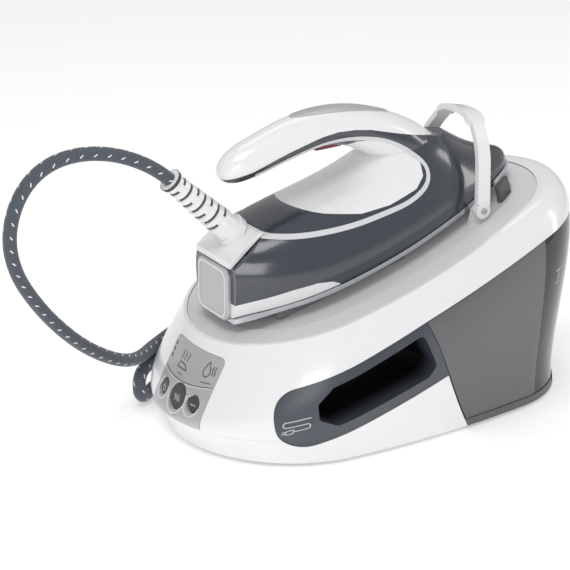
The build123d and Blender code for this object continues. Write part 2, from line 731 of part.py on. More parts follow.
# light strip that runs along both flanks and round the handle's arch
STRIP = [(37, 101.5), (60, 98.6), (101, 98.8), (130, 97.0), (151, 91.8), (170, 82.5), (184, 70.5), (193, 58.5),
         (195.5, 49.0), (191, 41.5), (181, 37.4), (142, 38.0), (120, 40.2), (91, 45.0), (64, 51.5), (43, 59.0)]
STRIP_W = 3.4
with BuildPart() as strip_cut:
    with BuildSketch(Plane(origin=IRON.origin, x_dir=IRON.x_dir, z_dir=-IRON.y_dir).offset(-80)):
        with BuildLine():
            Spline(*STRIP)
        trace(line_width=STRIP_W)
    extrude(amount=160)
with BuildPart() as trim_strip:
    add(body_form(0.5) + handle_form(0.5))
    add(body_form(-0.9) + handle_form(-0.9), mode=Mode.SUBTRACT)
    add(strip_cut.part, mode=Mode.INTERSECT)
    add(heel_cut, mode=Mode.SUBTRACT)
save(trim_strip.part, "trim_strip")

with BuildPart() as handle_cover:
    add(handle_solid)
    add(cover_cut, mode=Mode.INTERSECT)
save(handle_cover.part, "handle_cover")

TRIGGER_U, TRIGGER_W = 133.0, 92.5
TRIGGER_TURN = -14.0
trigger_plane = iron_station(TRIGGER_U, TRIGGER_TURN, TRIGGER_W)
with BuildPart() as trigger_well:
    with BuildSketch(Plane(origin=trigger_plane.origin, x_dir=trigger_plane.z_dir,
                           z_dir=-trigger_plane.y_dir).offset(-9)):
        RectangleRounded(27, 11.6, 3)
    extrude(amount=20)
with BuildPart() as steam_trigger:
    with BuildSketch(Plane(origin=trigger_plane.origin, x_dir=trigger_plane.z_dir,
                           z_dir=-trigger_plane.y_dir).offset(-4.5)):
        RectangleRounded(26, 10.6, 3)
    extrude(amount=9.5)
    fillet(steam_trigger.faces().sort_by(Axis.Z)[0].edges(), 2.2)
save(steam_trigger.part, "steam_trigger")

with BuildPart() as handle_grip:
    add(handle_solid)
    add(split_cut, mode=Mode.INTERSECT)
    add(cover_cut, mode=Mode.SUBTRACT)
    add(saddle_cut, mode=Mode.SUBTRACT)
    add(trigger_well.part, mode=Mode.SUBTRACT)
    add(trim_strip.part, mode=Mode.SUBTRACT)
save(handle_grip.part, "handle_grip")

with BuildPart() as handle_saddle:
    add(iron_solid)
    add(saddle_cut, mode=Mode.INTERSECT)
    add(split_cut, mode=Mode.SUBTRACT)
    add(cavity, mode=Mode.SUBTRACT)
    add(trigger_well.part, mode=Mode.SUBTRACT)
    add(trim_strip.part, mode=Mode.SUBTRACT)
save(handle_saddle.part, "handle_saddle")

with BuildPart() as iron_body:
    add(iron_solid)
    add(cover_cut, mode=Mode.SUBTRACT)
    add(split_cut, mode=Mode.SUBTRACT)
    add(saddle_cut, mode=Mode.SUBTRACT)
    add(skirt_cut, mode=Mode.SUBTRACT)
    add(heel_cut, mode=Mode.SUBTRACT)
    add(cavity, mode=Mode.SUBTRACT)
    add(trigger_well.part, mode=Mode.SUBTRACT)
    add(trim_strip.part, mode=Mode.SUBTRACT)
body_main = iron_body.part.solids().sort_by(SortBy.VOLUME)[-1]
save(Part(body_main.wrapped), "iron_body")

with BuildPart() as heat_skirt:
    add(body_form(-0.4))
    add(skirt_cut, mode=Mode.INTERSECT)
    add(heel_cut, mode=Mode.SUBTRACT)
    add(cavity, mode=Mode.SUBTRACT)
save(heat_skirt.part, "heat_skirt")

# heel: a silver heel plate, the white cap above it and a dark foot below
with BuildPart() as heel_plate:
    with BuildSketch(Plane(origin=(HEEL_X - 0.2, 0, 123.5), x_dir=(0, -1, 0), z_dir=(-1, 0, 0))):
        RectangleRounded(49, 44, 9)
    extrude(amount=3.2)
    fillet(heel_plate.faces().sort_by(Axis.X)[0].edges(), 1.4)
save(heel_plate.part, "heel_plate")

with BuildPart() as heel_cap:
    with BuildSketch(Plane.XZ.offset(-27)):
        with BuildLine():
            Polyline((HEEL_X - 2.6, 146.9), (HEEL_X - 2.6, 151.5), (-129, 160.5), (-113.5, 171.5), (-109.2, 171.5),
                     (HEEL_X, 147.6), (HEEL_X, 146.9), close=True)
        make_face()
    extrude(amount=54)
save(heel_cap.part, "heel_cap")

# ribbed strain relief that carries the hose up and away from the heel
BOOT_A, BOOT_B = (-122.0, 0.0, 166.5), (-176.0, 0.0, 217.0)
boot_dir = Vector(BOOT_B[0] - BOOT_A[0], 0, BOOT_B[2] - BOOT_A[2])
BOOT_L = boot_dir.length
BOOT = Plane(origin=BOOT_A, x_dir=(0, 1, 0), z_dir=boot_dir)
with BuildPart() as hose_boot:
    with BuildSketch(BOOT.offset(-1)):
        Circle(13.5)
    extrude(amount=6)
    with BuildSketch(BOOT.offset(4)):
        Circle(11.0)
    with BuildSketch(BOOT.offset(BOOT_L - 3)):
        Circle(7.6)
    loft()
    for k in range(7):
        with BuildSketch(BOOT.offset(15 + 7.4 * k)):
            Circle(11.2 - 0.42 * k)
        extrude(amount=4.2)
    with BuildSketch(BOOT.offset(BOOT_L - 4)):
        Circle(9.2)
    extrude(amount=4)
    add(heel_cap.part, mode=Mode.SUBTRACT)
    add(heel_plate.part, mode=Mode.SUBTRACT)
    add(iron_body.part, mode=Mode.SUBTRACT)
save(hose_boot.part, "hose_boot")

# soft grey pad let into the top of the handle
with BuildPart() as handle_pad:
    add(handle_form(0.7))
    add(handle_solid, mode=Mode.SUBTRACT)
    with BuildSketch(IRON.offset(95)):
        with Locations((152, 0)):
            Ellipse(44, 11)
    extrude(amount=40, mode=Mode.INTERSECT)
save(handle_pad.part, "handle_pad")


# inside the iron: the cast steam chamber, the trigger's switch and a steam pipe
with BuildPart() as steam_chamber:
    with BuildSketch(IRON.offset(BODY_LOW)):
        add(sole_face(-9.0, 14))
    extrude(amount=14)
    add(cavity, mode=Mode.INTERSECT)
save(steam_chamber.part, "steam_chamber")

with BuildPart() as chamber_lid:
    with BuildSketch(IRON.offset(BODY_LOW + 14)):
        with Locations((105, 0)):
            SlotOverall(110, 46)
    extrude(amount=3)
save(chamber_lid.part, "chamber_lid")

with BuildPart() as lid_screws:
    with BuildSketch(IRON.offset(BODY_LOW + 17)):
        with Locations((105, 0)):
            with GridLocations(60, 32, 2, 2):
                RegularPolygon(3.2, 6)
    extrude(amount=2.4)
save(lid_screws.part, "lid_screws")

with BuildPart() as steam_pipe:
    with BuildSketch(IRON.offset(BODY_LOW + 17)):
        with Locations((60, 0)):
            Circle(4)
    extrude(amount=26)
save(steam_pipe.part, "steam_pipe")


# ---- steam hose: a loop up from the iron, then a fold stored along the far side --------
RUN_Y = 122.0                      # the stored runs lie just outside the far flank
RUN_LOW, RUN_MID, RUN_HIGH = 6.4, 30.4, 51.0
FOLD_X, FOLD_Y = -169.5, 76.0
HOSE_LOOP = [
    BOOT_B, (-185.1, 0, 225.51), (-204, 2, 236.5), (-224, 4, 243.5), (-246, 6.5, 246), (-268, 9, 242),
    (-286, 12, 229),
    (-297.5, 15, 208), (-301, 19, 182), (-294.5, 23, 155), (-279, 28, 129), (-259, 34, 103.5),
    (-232, 43, 77), (-201, 54, 56), (-172, 73.5, 43), (-142, 102, 41), (-102, 123, 46),
]
HOSE_REAR = [
    (-50, RUN_Y, RUN_HIGH), (5, RUN_Y + 1, RUN_HIGH), (60, RUN_Y + 1.5, 43), (106, RUN_Y + 4, 29),
    (145, 131, 17), (173, 151, 9.5), (176, 181, 7), (152, 205, RUN_LOW), (110, 210, RUN_LOW),
    (60, 201, RUN_LOW), (5, 186, RUN_LOW), (-45, 168, RUN_LOW), (-92, 142, RUN_LOW), (-124, 116, RUN_LOW),
    (-147, 95, RUN_LOW),
]
HOSE_FOLD = [
    (FOLD_X, FOLD_Y, RUN_LOW), (FOLD_X, FOLD_Y, RUN_MID), (-146, 96, RUN_MID), (-124, 109.5, RUN_MID),
    (-95, 118, RUN_MID), (-60, RUN_Y + 0.5, RUN_MID), (-25, RUN_Y, RUN_MID),
    (2, RUN_Y, RUN_MID),
]
HOSE_ROUTE = HOSE_LOOP + HOSE_REAR + HOSE_FOLD


def hose_radii(route):
    """Radius at each inner point: 0.45 of the shorter run over tan(half the turn)."""
    radii = []
    for a, b, c in zip(route, route[1:], route[2:]):
        run_in, run_out = Vector(*b) - Vector(*a), Vector(*c) - Vector(*b)
        half = math.radians(run_in.get_angle(run_out)) / 2
        radii.append(0.45 * min(run_in.length, run_out.length) / math.tan(half))
    return radii


def hose_tube(route):
    with BuildPart() as tube:
        with BuildLine() as line:
            FilletPolyline(*route, radius=hose_radii(route))
        with BuildSketch(Plane(origin=line.line @ 0, z_dir=line.line % 0)):
            Circle(HOSE_D / 2)
        sweep()
    length = sum(edge.length for edge in line.edges())
    print("hose", round(length, 1), "mm, volume over section x length",
          round(tube.part.volume / (math.pi * HOSE_D ** 2 / 4 * length), 4))
    return tube.part


print("hose radii", [round(r, 1) for r in hose_radii(HOSE_ROUTE)])
save(hose_tube(HOSE_ROUTE), "steam_hose")

# outlet housing on the far flank, and two combs that hold the stored runs
with BuildPart() as hose_gland:
    with BuildSketch(Plane.YZ.offset(8)):
        with Locations((RUN_Y - 10, RUN_MID)):
            RectangleRounded(38, 22, 6)
    extrude(amount=17)
    with BuildSketch(Plane.YZ.offset(2)):
        with Locations((RUN_Y, RUN_MID)):
            Circle(8.5)
    extrude(amount=6)
    add(base_form(0.1), mode=Mode.SUBTRACT)
save(hose_gland.part, "hose_gland")

COMB_X = (-62.0, -14.0)
with BuildPart() as hose_combs:
    for x in COMB_X:
        with BuildSketch(Plane.YZ.offset(x)):
            with Locations((107, 38)):
                Rectangle(13, 48)
            for z in (16.6, (RUN_MID + RUN_HIGH) / 2, 59.8):
                with Locations((118, z)):
                    RectangleRounded(30, 5, 2)
        extrude(amount=7)
    add(base_form(0.2), mode=Mode.SUBTRACT)
combs = hose_combs.part.solids().sort_by(SortBy.VOLUME)[-2:]
save(Compound(combs), "hose_combs")
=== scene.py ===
import json
import math

import bpy
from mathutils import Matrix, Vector
from mathutils.bvhtree import BVHTree


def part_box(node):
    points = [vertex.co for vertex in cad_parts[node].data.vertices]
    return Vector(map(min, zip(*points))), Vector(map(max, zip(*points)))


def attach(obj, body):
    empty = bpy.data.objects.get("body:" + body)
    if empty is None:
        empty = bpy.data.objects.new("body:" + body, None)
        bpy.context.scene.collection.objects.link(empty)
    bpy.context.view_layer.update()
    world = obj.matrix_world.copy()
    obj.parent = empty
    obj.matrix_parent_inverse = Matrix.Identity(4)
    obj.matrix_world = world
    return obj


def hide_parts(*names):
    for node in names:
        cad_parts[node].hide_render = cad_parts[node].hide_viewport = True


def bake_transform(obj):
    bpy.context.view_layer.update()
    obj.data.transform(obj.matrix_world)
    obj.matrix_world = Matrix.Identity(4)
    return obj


# Steam generator iron: looks, hose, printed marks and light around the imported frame.
# Lengths are metres, except in drawings of marks, which are millimetres and are scaled by MM.
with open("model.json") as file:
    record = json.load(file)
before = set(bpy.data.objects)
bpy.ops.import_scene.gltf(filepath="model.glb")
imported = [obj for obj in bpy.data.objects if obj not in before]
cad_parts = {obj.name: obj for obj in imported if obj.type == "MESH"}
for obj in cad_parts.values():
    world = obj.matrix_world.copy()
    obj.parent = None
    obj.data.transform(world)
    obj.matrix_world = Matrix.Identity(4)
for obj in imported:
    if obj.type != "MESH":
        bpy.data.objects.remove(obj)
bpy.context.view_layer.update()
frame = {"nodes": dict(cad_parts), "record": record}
scene = bpy.context.scene
nodes = frame["nodes"]
MM = 0.001

# ---- camera -----------------------------------------------------------------
CAMERA_AT = (-0.8389, -1.3231, 0.6699)
CAMERA_AIM = (-0.0402, 0.0604, 0.0885)
LENS, SENSOR = 128.84, 36               # millimetres


def turn_towards(thing, target):
    """Point a camera's or a lamp's -Z at a target, with its Y as near up as it goes."""
    thing.rotation_mode = "QUATERNION"
    thing.rotation_quaternion = (Vector(target) - thing.location).to_track_quat("-Z", "Y")


camera = bpy.data.objects.new("camera", bpy.data.cameras.new("camera"))
scene.collection.objects.link(camera)
camera.location = CAMERA_AT
turn_towards(camera, CAMERA_AIM)
camera.data.lens, camera.data.sensor_width = LENS, SENSOR
camera.data.clip_start, camera.data.clip_end = 0.05, 30
scene.camera = camera
scene.view_settings.view_transform = "Standard"


# ---- materials --------------------------------------------------------------
def opaque(*rgb):
    """A colour with full alpha."""
    return (*rgb, 1.0)


class Shader:
    """A Principled material with short calls for its nodes."""

    def __init__(self, name):
        self.material = bpy.data.materials.new(name)
        self.material.use_nodes = True
        self.tree = self.material.node_tree
        self.main = self.tree.nodes["Principled BSDF"]
        self.place = self.node("ShaderNodeTexCoord").outputs["Object"]

    def axes(self, source):
        """The X, Y and Z sockets of a vector socket."""
        made = self.node("ShaderNodeSeparateXYZ")
        self.feed(made.inputs[0], source)
        return made.outputs

    def node(self, kind, **values):
        """A new node, with its own properties set."""
        made = self.tree.nodes.new(kind)
        for key, value in values.items():
            setattr(made, key, value)
        return made

    def feed(self, socket, value):
        """Link an output to a socket, or set the socket's own value."""
        if hasattr(value, "is_output"):
            self.tree.links.new(value, socket)
        else:
            socket.default_value = value

    def math(self, operation, a, b=0.0):
        made = self.node("ShaderNodeMath", operation=operation)
        self.feed(made.inputs[0], a)
        self.feed(made.inputs[1], b)
        return made.outputs[0]

    def noise(self, scale, detail=2.0, stretch=None):
        """Noise in object space, drawn out along an axis where stretch is small."""
        made = self.node("ShaderNodeTexNoise")
        source = self.place
        if stretch:
            mapping = self.node("ShaderNodeMapping")
            mapping.inputs["Scale"].default_value = stretch
            self.feed(mapping.inputs["Vector"], source)
            source = mapping.outputs[0]
        self.feed(made.inputs["Vector"], source)
        made.inputs["Scale"].default_value = scale
        made.inputs["Detail"].default_value = detail
        return made.outputs["Fac"]

    def remap(self, value, low, high, start=0.3, stop=0.7):
        """Map start..stop to low..high, clamped."""
        made = self.node("ShaderNodeMapRange")
        self.feed(made.inputs["Value"], value)
        for key, number in (("From Min", start), ("From Max", stop), ("To Min", low), ("To Max", high)):
            made.inputs[key].default_value = number
        return made.outputs[0]

    def mix(self, share, a, b):
        made = self.node("ShaderNodeMix", data_type="RGBA")
        self.feed(made.inputs[0], share)
        self.feed(made.inputs[6], a)
        self.feed(made.inputs[7], b)
        return made.outputs[2]

    def bump(self, height, strength, distance):
        made = self.node("ShaderNodeBump")
        made.inputs["Strength"].default_value = strength
        made.inputs["Distance"].default_value = distance
        self.feed(made.inputs["Height"], height)
        self.feed(self.main.inputs["Normal"], made.outputs[0])

    def set(self, **sockets):
        """Feed the Principled shader's sockets, named with _ for a space."""
        for key, value in sockets.items():
            self.feed(self.main.inputs[key.replace("_", " ")], value)


ROUGH_SPREAD = 0.06                     # how far roughness strays from its middle value
BROAD_SCALE = 22.0                      # slow unevenness over the whole part


def finish(name, colour, rough, spread=0.04, grain=1400.0, bump=0.15, depth=0.00006, stretch=None,
           **sockets):
    """A moulded, cast or brushed finish: grain in colour, roughness and relief."""
    s = Shader(name)
    fine = s.noise(grain, 3.0, stretch)
    broad = s.noise(BROAD_SCALE, 2.0)
    lighter = opaque(*[min(1.0, c * (1 + spread)) for c in colour])
    darker = opaque(*[c * (1 - spread) for c in colour])
    tone = s.math("ADD", s.math("MULTIPLY", fine, 0.5), s.math("MULTIPLY", broad, 0.5))
    s.set(Base_Color=s.mix(s.remap(tone, 0.0, 1.0), darker, lighter))
    s.set(Roughness=s.remap(tone, max(0.02, rough - ROUGH_SPREAD), min(1.0, rough + ROUGH_SPREAD)))
    s.bump(fine, bump, depth)
    s.set(**sockets)
    return s.material


looks = {
    "white_shell": finish("white_gloss", (0.83, 0.835, 0.84), 0.22, spread=0.012, bump=0.04, Coat_Weight=0.4,
                          Coat_Roughness=0.08),
    "pale_deck": finish("pale_satin", (0.66, 0.67, 0.68), 0.42, spread=0.02, bump=0.25),
    "dark_panel": finish("dark_satin", (0.055, 0.062, 0.078), 0.33, bump=0.25),
    "dark_body": finish("dark_gloss", (0.040, 0.046, 0.060), 0.20, spread=0.06, bump=0.05, Coat_Weight=0.7,
                        Coat_Roughness=0.10),
    "silver_plastic": finish("silver_paint", (0.50, 0.50, 0.50), 0.38, spread=0.05, grain=2600.0, bump=0.3,
                             Metallic=0.35),
    "button_grey": finish("button_soft", (0.050, 0.050, 0.053), 0.45, spread=0.10, bump=0.3),
    "trigger_red": finish("trigger_gloss", (0.16, 0.002, 0.008), 0.30, Coat_Weight=0.3),
    "tray_grey": finish("tray_satin", (0.095, 0.10, 0.105), 0.42, spread=0.08, bump=0.3),
    "silicone_grey": finish("silicone_matt", (0.17, 0.175, 0.18), 0.62, spread=0.06, bump=0.3),
    "foot_rubber": finish("foot_rubber", (0.02, 0.02, 0.02), 0.75, spread=0.15, bump=0.5),
    "sole_metal": finish("sole_polished", (0.62, 0.63, 0.65), 0.22, grain=900.0, stretch=(0.04, 1, 1),
                         Metallic=0.95),
    "cast_alloy": finish("cast_alloy", (0.42, 0.42, 0.42), 0.55, grain=700.0, bump=0.6, depth=0.0002,
                         Metallic=0.9),
    "boiler_steel": finish("boiler_brushed", (0.52, 0.52, 0.53), 0.30, grain=900.0, stretch=(1, 1, 0.03),
                           bump=0.4, Metallic=1.0),
    "bolt_steel": finish("bolt_bright", (0.58, 0.58, 0.60), 0.24, grain=1800.0, Metallic=1.0),
    "brass_fitting": finish("brass_turned", (0.62, 0.42, 0.16), 0.28, grain=1500.0, stretch=(1, 1, 0.1),
                            Metallic=1.0),
    "inner_plastic": finish("inner_matt", (0.10, 0.10, 0.105), 0.6, spread=0.08, bump=0.4),
    "board_green": finish("board_mask", (0.01, 0.11, 0.04), 0.35, spread=0.25, grain=500.0, bump=0.4),
    "silicone_tube": finish("tube_milky", (0.55, 0.53, 0.50), 0.4, spread=0.05, Subsurface_Weight=0.15),
}


CLEAR_FROM, CLEAR_EDGE = 0.116, 0.0015  # the tank is clear behind this x, after a narrow edge


def smoked_tank():
    """Smoked plastic: frosted along the flanks, and clear and darker near the rear."""
    s = Shader("smoked_plastic")
    clear = s.remap(s.axes(s.place)["X"], 0.0, 1.0, CLEAR_FROM, CLEAR_FROM + CLEAR_EDGE)
    fine = s.noise(3200.0, 4.0)
    speck = s.remap(fine, 0.0, 1.0, 0.35, 0.65)
    frosted = s.mix(speck, opaque(0.105, 0.107, 0.112), opaque(0.165, 0.168, 0.174))
    s.set(Base_Color=s.mix(clear, frosted, opaque(0.018, 0.019, 0.022)))
    s.set(Roughness=s.remap(clear, 0.42, 0.06, 0.0, 1.0))
    s.set(Transmission_Weight=s.remap(clear, 0.10, 0.35, 0.0, 1.0))
    s.set(IOR=1.45, Coat_Weight=0.15)
    s.bump(fine, 0.12, 0.00005)
    return s.material


looks["smoke_tank"] = smoked_tank()


NOSE_CENTRE = -0.071                    # x of the axis that the base's round front turns about
PAINTED_SHADE_FULL, PAINTED_SHADE_NONE = 0.088, 0.1035  # how far from the base's middle line the painted recess shade is full, and where it is gone


def panel_with_painted_recess_shade():
    """The dark side panel, with painted shade darkening it to black deeper inside the cord compartment."""
    s = Shader("dark_satin_painted_recess_shade")
    x, y, _ = s.axes(s.place)
    ahead = s.math("MINIMUM", s.math("ADD", x, -NOSE_CENTRE), 0.0)
    squares = s.math("ADD", s.math("MULTIPLY", ahead, ahead), s.math("MULTIPLY", y, y))
    recess_shade = s.remap(s.math("SQRT", squares), 1.0, 0.0, PAINTED_SHADE_FULL, PAINTED_SHADE_NONE)
    fine = s.noise(1400.0, 3.0)
    skin = s.mix(s.remap(fine, 0.0, 1.0), opaque(0.052, 0.058, 0.073), opaque(0.062, 0.070, 0.088))
    # painted shade: black mixed in deeper inside the cord compartment, where shade falls
    s.set(Base_Color=s.mix(recess_shade, skin, opaque(0.004, 0.004, 0.005)))
    s.set(Roughness=s.remap(fine, 0.28, 0.38))
    s.bump(fine, 0.25, 0.00006)
    return s.material


HOSE_LENGTH = 1.3666                    # metres, along the route below


FLECK_ROWS, FLECK_PITCH = 4, 11.0       # rows of white flecks round the hose, and mm between them
FLECK_LENGTH, FLECK_WIDTH, FLECK_SLANT = 0.24, 0.08, 0.9   # as shares of the pitch and of a row
FLECK_SHIFT = 0.65
WEAVE_TURNS, WEAVE_PITCH = 12, 3.0      # crossings round the hose, and mm between them


def braided():
    """Dark textile braid with staggered rows of white flecks: u turns round the hose, v runs along it."""
    s = Shader("hose_braid")
    turn, v, _ = s.axes(s.node("ShaderNodeUVMap", uv_map="hose").outputs[0])
    along = s.math("MULTIPLY", v, HOSE_LENGTH / MM)

    rows = s.math("MULTIPLY", turn, FLECK_ROWS)
    stagger = s.math("MULTIPLY", s.math("FLOOR", rows), 0.5)
    phase = s.math("FRACT", s.math("ADD", s.math("MULTIPLY", along, 1 / FLECK_PITCH), stagger))
    across = s.math("ADD", s.math("FRACT", rows), s.math("MULTIPLY", phase, FLECK_SLANT))
    slant = s.math("ABSOLUTE", s.math("SUBTRACT", across, FLECK_SHIFT))
    fleck = s.math("MULTIPLY", s.math("LESS_THAN", slant, FLECK_WIDTH),
                   s.math("LESS_THAN", phase, FLECK_LENGTH))

    turns = s.math("MULTIPLY", turn, 2 * math.pi * WEAVE_TURNS)
    step = s.math("MULTIPLY", along, 2 * math.pi / WEAVE_PITCH)
    left = s.math("SINE", s.math("ADD", turns, step))
    right = s.math("SINE", s.math("SUBTRACT", turns, step))
    weave = s.remap(s.math("MULTIPLY", left, right), 0.0, 1.0, -0.8, 0.8)

    thread = s.mix(weave, opaque(0.034, 0.042, 0.056), opaque(0.098, 0.116, 0.140))
    s.set(Base_Color=s.mix(fleck, thread, opaque(0.72, 0.74, 0.77)))
    s.set(Roughness=s.remap(weave, 0.78, 0.6, 0.0, 1.0), Sheen_Weight=0.25)
    s.bump(weave, 0.5, 0.0003)
    return s.material


looks["hose_braid"] = braided()
recess_shaded_look = panel_with_painted_recess_shade()
dark_detail = finish("slot_dark", (0.055, 0.057, 0.062), 0.5, spread=0.08, bump=0.2)
# grey for the printed pictures and captions, and for the painted shadow line over the panel step
ink_and_shadow_grey = finish("print_and_painted_shadow_grey", (0.11, 0.115, 0.12), 0.5, spread=0.05)
ink_pale = finish("print_pale", (0.48, 0.50, 0.52), 0.5, spread=0.05)
silver_rim = finish("rim_silver", (0.70, 0.71, 0.72), 0.3, grain=2600.0, Metallic=0.3)

WELD_WITHIN = 0.002 * MM                # joins the frame's triangles, so that faces shade smoothly
SHARP_OVER = math.radians(28)           # and edges sharper than this stay crisp

for part in frame["record"]["subparts"]:
    node = nodes[part["node"]]
    node.data.materials.clear()
    # the near side panel takes the material with painted recess shade
    look = recess_shaded_look if part["node"] == "side_panel_near" else looks[part["material_slot"]]
    node.data.materials.append(look)
    node.data.shade_smooth()
    node.modifiers.new("weld", "WELD").merge_threshold = WELD_WITHIN
    node.modifiers.new("edges", "EDGE_SPLIT").split_angle = SHARP_OVER

# ---- steam hose -------------------------------------------------------------
# The route of part.py in metres: up and over from the boot, down to the base, back along its far
# side, round on the floor, and forward again through the fold to the outlet.
HOSE_ROUTE = [
    (-0.176, 0, 0.217), (-0.1851, 0, 0.22551), (-0.204, 0.002, 0.2365), (-0.224, 0.004, 0.2435),
    (-0.246, 0.0065, 0.246), (-0.268, 0.009, 0.242), (-0.286, 0.012, 0.229), (-0.2975, 0.015, 0.208),
    (-0.301, 0.019, 0.182), (-0.2945, 0.023, 0.155), (-0.279, 0.028, 0.129), (-0.259, 0.034, 0.1035),
    (-0.232, 0.043, 0.077), (-0.201, 0.054, 0.056), (-0.172, 0.0735, 0.043), (-0.142, 0.102, 0.041),
    (-0.102, 0.123, 0.046), (-0.050, 0.122, 0.051), (0.005, 0.123, 0.051), (0.060, 0.1235, 0.043),
    (0.106, 0.126, 0.029), (0.145, 0.131, 0.017), (0.173, 0.151, 0.0095), (0.176, 0.181, 0.007),
    (0.152, 0.205, 0.0064), (0.110, 0.210, 0.0064), (0.060, 0.201, 0.0064), (0.005, 0.186, 0.0064),
    (-0.045, 0.168, 0.0064), (-0.092, 0.142, 0.0064), (-0.124, 0.116, 0.0064), (-0.147, 0.095, 0.0064),
    (-0.1695, 0.076, 0.0064), (-0.1695, 0.076, 0.0304), (-0.146, 0.096, 0.0304), (-0.124, 0.1095, 0.0304),
    (-0.095, 0.118, 0.0304), (-0.060, 0.1225, 0.0304), (-0.025, 0.122, 0.0304), (0.002, 0.122, 0.0304),
]
HOSE_R = 5.5 * MM
ROUTE_STEPS = 36                        # points of the smooth line for each point of the route
SIDES = 36                              # points round the hose
WAVES, BRAID_PITCH, RELIEF = 4, 7.0 * MM, 0.07 * MM   # the braid's raised crossings
BRAID_SUNK = 0.1 * MM                   # keeps the raised braid inside the CAD hose


def mesh_object(name, points, faces, material, smooth=True):
    """An object in the scene from points and faces, with one material."""
    mesh = bpy.data.meshes.new(name)
    mesh.from_pydata(points, [], faces)
    mesh.materials.append(material)
    if smooth:
        mesh.shade_smooth()
    made = bpy.data.objects.new(name, mesh)
    scene.collection.objects.link(made)
    return made


def route_line(points, resolution):
    """Points along the smooth NURBS line of a route."""
    curve = bpy.data.curves.new("route", "CURVE")
    curve.dimensions = "3D"
    spline = curve.splines.new("NURBS")
    spline.points.add(len(points) - 1)
    for control, p in zip(spline.points, points):
        control.co = (*p, 1)
    spline.order_u = 3
    spline.use_endpoint_u = True
    spline.resolution_u = resolution
    holder = bpy.data.objects.new("route", curve)
    scene.collection.objects.link(holder)
    line = bpy.data.meshes.new_from_object(holder.evaluated_get(bpy.context.evaluated_depsgraph_get()))
    found = [v.co.copy() for v in line.vertices]
    bpy.data.objects.remove(holder)
    return found


def carried_frames(path):
    """Two cross directions at each point of a path, turned as little as possible."""
    frames, side = [], None
    for i, p in enumerate(path):
        run = (path[min(i + 1, len(path) - 1)] - path[max(i - 1, 0)]).normalized()
        side = run.orthogonal().normalized() if side is None else (side - run * side.dot(run)).normalized()
        frames.append((side, run.cross(side)))
    return frames


def braided_tube(name, path, material):
    """A closed tube along a path with a low braided relief, and a UV map for the braid's look."""
    travelled = [0.0]
    for a, b in zip(path, path[1:]):
        travelled.append(travelled[-1] + (b - a).length)
    points, faces = [], []
    for (side, rise), centre, run in zip(carried_frames(path), path, travelled):
        step = 2 * math.pi * run / BRAID_PITCH
        for k in range(SIDES):
            angle = 2 * math.pi * k / SIDES
            relief = math.sin(WAVES * angle + step) * math.sin(WAVES * angle - step)
            radius = HOSE_R - BRAID_SUNK + RELIEF * relief
            points.append(centre + (side * math.cos(angle) + rise * math.sin(angle)) * radius)
    rings = len(path)
    for i in range(rings - 1):
        for k in range(SIDES):
            n = (k + 1) % SIDES
            faces.append((i * SIDES + k, i * SIDES + n, (i + 1) * SIDES + n, (i + 1) * SIDES + k))
    faces.append(tuple(range(SIDES - 1, -1, -1)))
    faces.append(tuple(range((rings - 1) * SIDES, rings * SIDES)))
    tube = mesh_object(name, points, faces, material)

    chart = tube.data.uv_layers.new(name="hose")
    for i in range(rings - 1):
        near, far = travelled[i] / travelled[-1], travelled[i + 1] / travelled[-1]
        for k in range(SIDES):
            corner = 4 * (i * SIDES + k)
            for at, (u, v) in enumerate(((k, near), (k + 1, near), (k + 1, far), (k, far))):
                chart.data[corner + at].uv = (u / SIDES, v)
    return tube


hose_path = route_line(HOSE_ROUTE, ROUTE_STEPS)
hose = braided_tube("braided_hose", hose_path, looks["hose_braid"])
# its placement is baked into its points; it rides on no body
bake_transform(hose)
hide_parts("steam_hose")


# ---- things laid on a surface ------------------------------------------------
MARK_STEP = 0.9                         # mm between the points of a laid line


def surface(*names):
    """A search tree over the surfaces of some CAD parts, for rays."""
    points, faces = [], []
    for name in names:
        mesh = nodes[name].data
        first = len(points)
        points += [v.co for v in mesh.vertices]
        faces += [[first + i for i in p.vertices] for p in mesh.polygons]
    return BVHTree.FromPolygons(points, faces)


def dense_line(stroke):
    """The points of a stroke with more put in between them, and whether it is a closed one."""
    closed, dense = stroke[0] == stroke[-1], []
    for (a, b), (c, d) in zip(stroke, stroke[1:]):
        count = max(1, int(math.hypot(c - a, d - b) / MARK_STEP))
        dense += [(a + (c - a) * i / count, b + (d - b) * i / count) for i in range(count)]
    if not closed:
        dense.append(stroke[-1])
    return dense, closed


def square_bar(first, count, closed):
    """The faces of a four-sided bar through `count` rows of four points."""
    faces = []
    for i in range(count if closed else count - 1):
        p, q = first + 4 * i, first + 4 * ((i + 1) % count)
        for e in range(4):
            f = (e + 1) % 4
            faces.append((p + e, p + f, q + f, q + e))
    if not closed and count > 1:
        end = first + 4 * (count - 1)
        faces.append((first + 3, first + 2, first + 1, first))
        faces.append((end, end + 1, end + 2, end + 3))
    return faces


